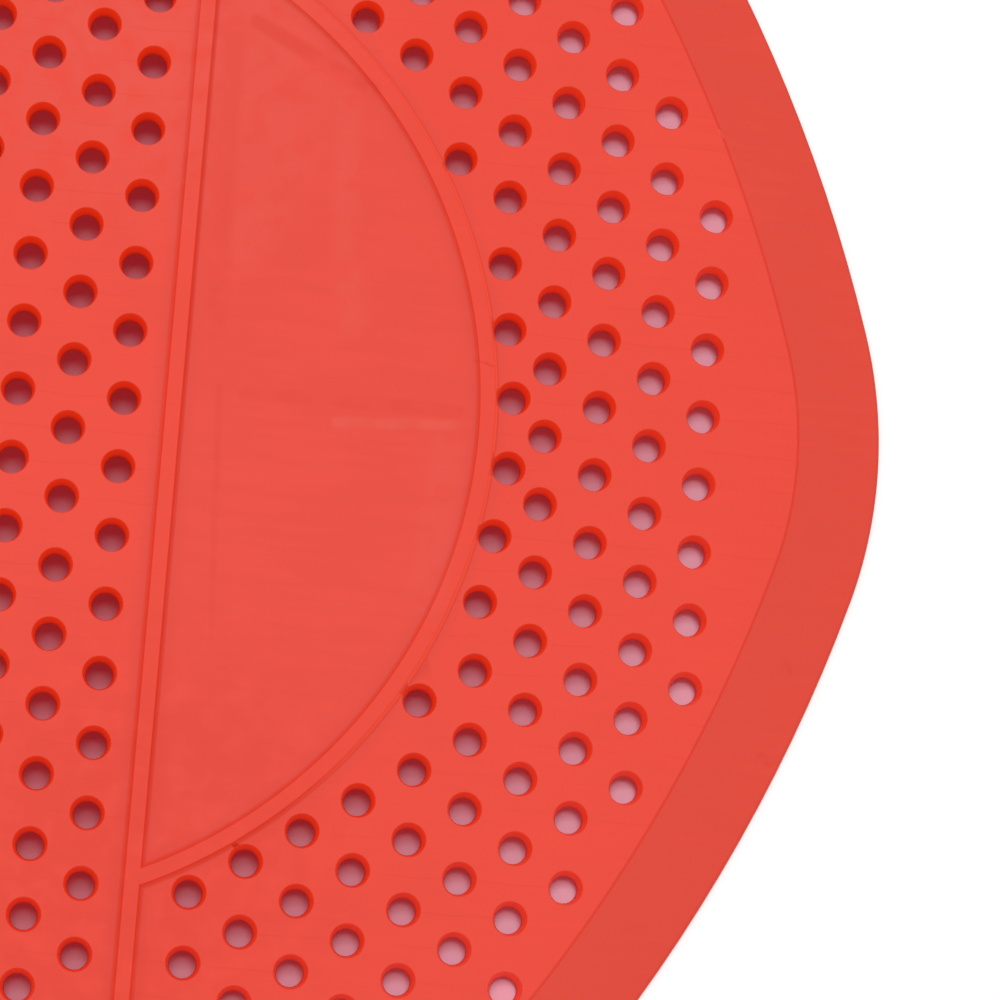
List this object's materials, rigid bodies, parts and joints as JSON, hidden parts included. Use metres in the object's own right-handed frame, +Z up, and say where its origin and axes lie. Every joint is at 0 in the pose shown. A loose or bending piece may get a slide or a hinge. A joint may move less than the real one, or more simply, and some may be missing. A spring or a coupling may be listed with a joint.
{
  "type": "urinal deodorizer screen",
  "caption": "Flexible moulded mat with a lobed outline, staggered drain holes, raised ribs and two blank fields, laid in the bottom of a urinal bowl.",
  "frame": {"origin": "centre of the mat on its flat underside", "axes": "+Z up out of the ribbed face, +X across the straight ribs towards a corner lobe, +Y along the straight ribs"},
  "size_m": [0.1864, 0.1732, 0.0031],
  "materials": {
    "vinyl": "smooth, satin, flexible red vinyl"
  },
  "bodies": {
    "root": {"screen_mat": "vinyl"}
  },
  "joints": []
}
